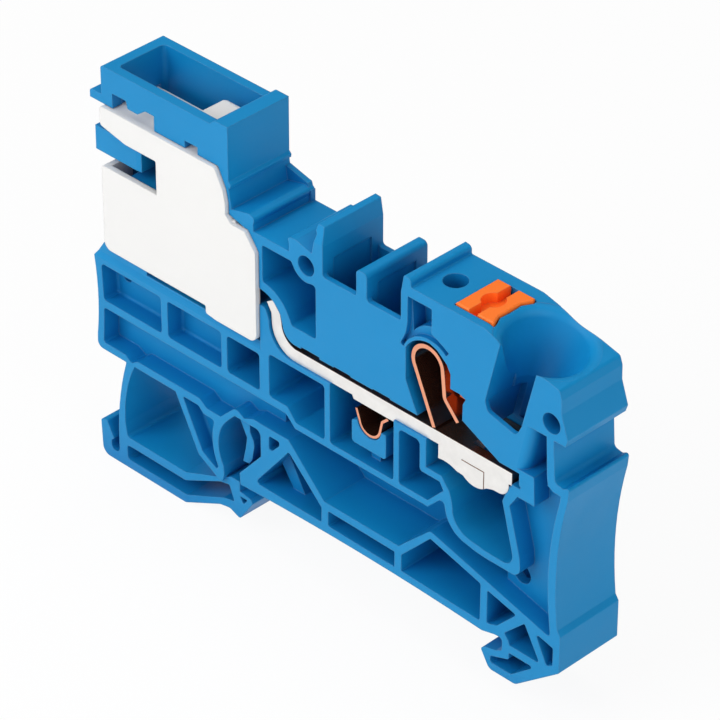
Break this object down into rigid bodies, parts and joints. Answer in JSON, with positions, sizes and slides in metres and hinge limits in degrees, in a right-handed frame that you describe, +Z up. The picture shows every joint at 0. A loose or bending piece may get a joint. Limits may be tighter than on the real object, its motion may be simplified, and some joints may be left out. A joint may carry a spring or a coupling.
{
  "type": "neutral disconnect terminal block",
  "caption": "Rail-mounted neutral disconnect terminal block with an open ribbed side, push-in clamp, release button and a sliding busbar disconnect.",
  "frame": {"origin": "X = 0 at the rail centre, Z = 0 at the rail's upper edge, Y = 0 at mid-thickness of the housing", "axes": "+Z up away from the rail, +X along the block towards the conductor entry, +Y towards the closed side"},
  "size_m": [0.0635, 0.0084, 0.047],
  "materials": {
    "housing": "satin moulded polyamide, blue",
    "disconnect_slide": "satin moulded polyamide, white",
    "slide_contact": "tinned copper alloy",
    "current_bar": "tinned copper with a fine grain",
    "clamp_spring": "copper-coloured spring strip, dark faces and bright edges",
    "jumper_spring": "copper-coloured spring strip, dark faces and bright edges",
    "push_button": "satin moulded polyamide, orange"
  },
  "bodies": {
    "housing": {"housing": "housing", "current_bar": "current_bar", "clamp_spring": "clamp_spring", "jumper_spring": "jumper_spring"},
    "slide": {"disconnect_slide": "disconnect_slide", "slide_contact": "slide_contact"},
    "button": {"push_button": "push_button"}
  },
  "joints": [
    {"name": "disconnect", "type": "slide", "parent": "housing", "child": "slide", "axis": [1, 0, 0], "range_m": [-0.009, 0]},
    {"name": "button_press", "type": "slide", "parent": "housing", "child": "button", "axis": [0, 0, 1], "range_m": [-0.0025, 0], "stiffness_N_per_m": 2000, "springref_m": 0.0005, "deforming": ["clamp_spring"]}
  ]
}
